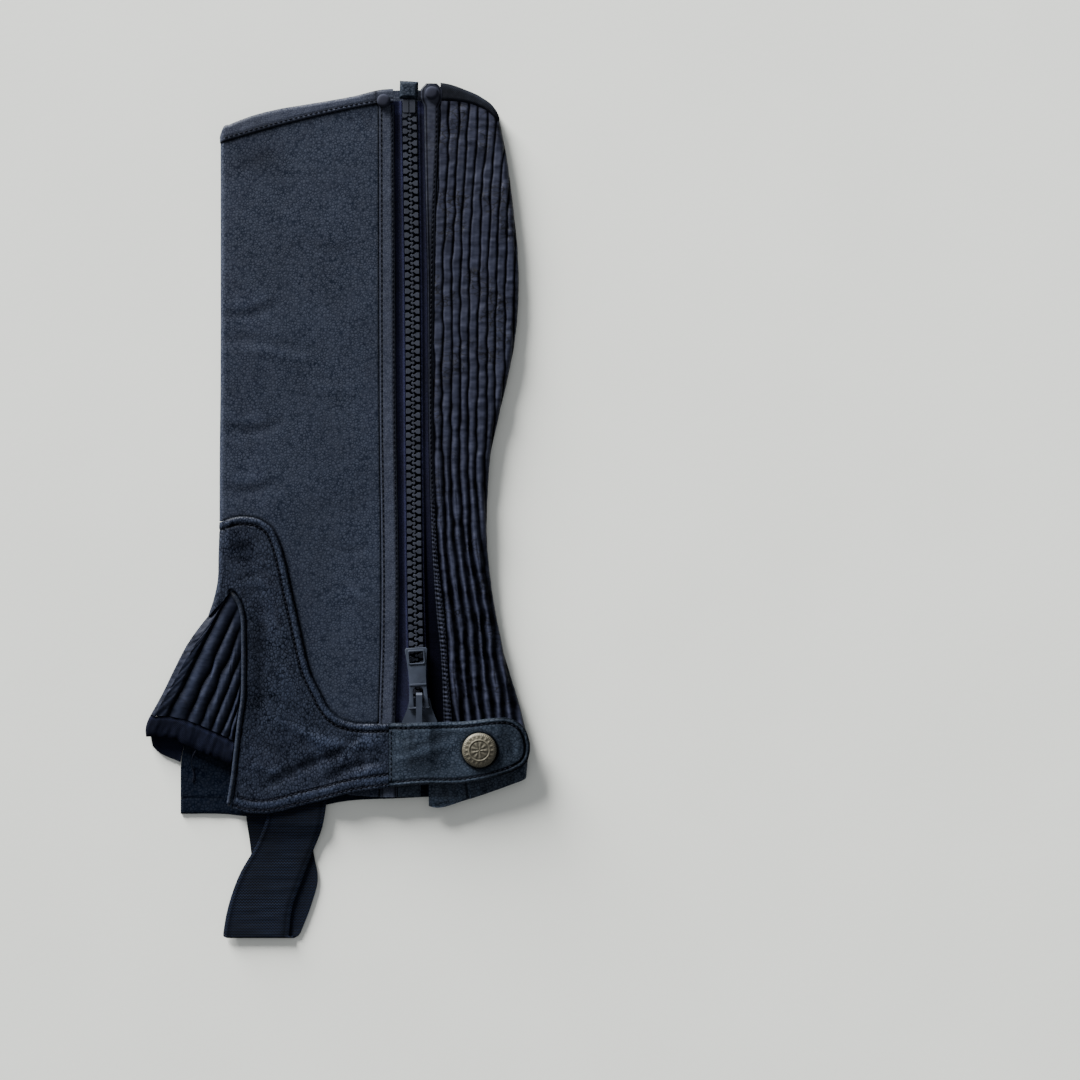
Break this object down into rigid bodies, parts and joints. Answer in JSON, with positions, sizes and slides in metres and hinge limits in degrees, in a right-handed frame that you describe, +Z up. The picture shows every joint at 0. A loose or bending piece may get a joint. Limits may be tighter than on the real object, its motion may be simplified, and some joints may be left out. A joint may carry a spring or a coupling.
{
  "type": "leather half chap",
  "caption": "Black leather half chap laid flat: grained leg panel, ribbed elastic calf panel, closed zip, snap strap at the ankle and an elastic stirrup under the foot.",
  "frame": {"origin": "on the surface the half chap lies on, under the middle of its bounding box", "axes": "+X from the shin fold to the calf fold, +Y up the leg from the stirrup to the top binding, +Z up from the surface"},
  "size_m": [0.2234, 0.4977, 0.0132],
  "materials": {
    "leg_leather": "pebbled full grain, satin",
    "foot_leather": "softer pebbled grain, satin",
    "rib_leather": "thin smooth leather over elastic ribs, semi-gloss",
    "strap_leather": "smooth grain, satin",
    "woven_tape": "woven tape, matt",
    "elastic_weave": "woven elastic webbing, matt",
    "moulded_plastic": "moulded zip plastic and painted rivets, satin",
    "painted_metal": "black paint, satin",
    "antique_brass": "antique, brushed on its high places"
  },
  "bodies": {
    "chap": {"binding_calf": "woven_tape", "binding_leg": "leg_leather", "calf_hem": "strap_leather", "calf_panel": "rib_leather", "facing_calf": "leg_leather", "facing_shin": "leg_leather", "foot_panel_inner": "foot_leather", "foot_panel_outer": "foot_leather", "foot_piping": "leg_leather", "gusset": "rib_leather", "gusset_binding": "woven_tape", "leg_panel": "leg_leather", "rivet_calf": "moulded_plastic", "rivet_shin": "moulded_plastic", "snap_cap": "antique_brass", "stirrup": "elastic_weave", "strap": "strap_leather", "tape_calf": "woven_tape", "tape_shin": "woven_tape", "zip_box": "moulded_plastic", "zip_pin": "moulded_plastic", "zip_slider": "painted_metal", "zip_tab": "foot_leather", "zip_teeth": "moulded_plastic"},
    "pull": {"zip_pull": "painted_metal"}
  },
  "joints": [
    {"name": "pull_hinge", "type": "hinge", "parent": "chap", "child": "pull", "pos_m": [0.0473, -0.1145, 0.0083], "axis": [1, 0, 0], "range_deg": [0, 145]}
  ]
}
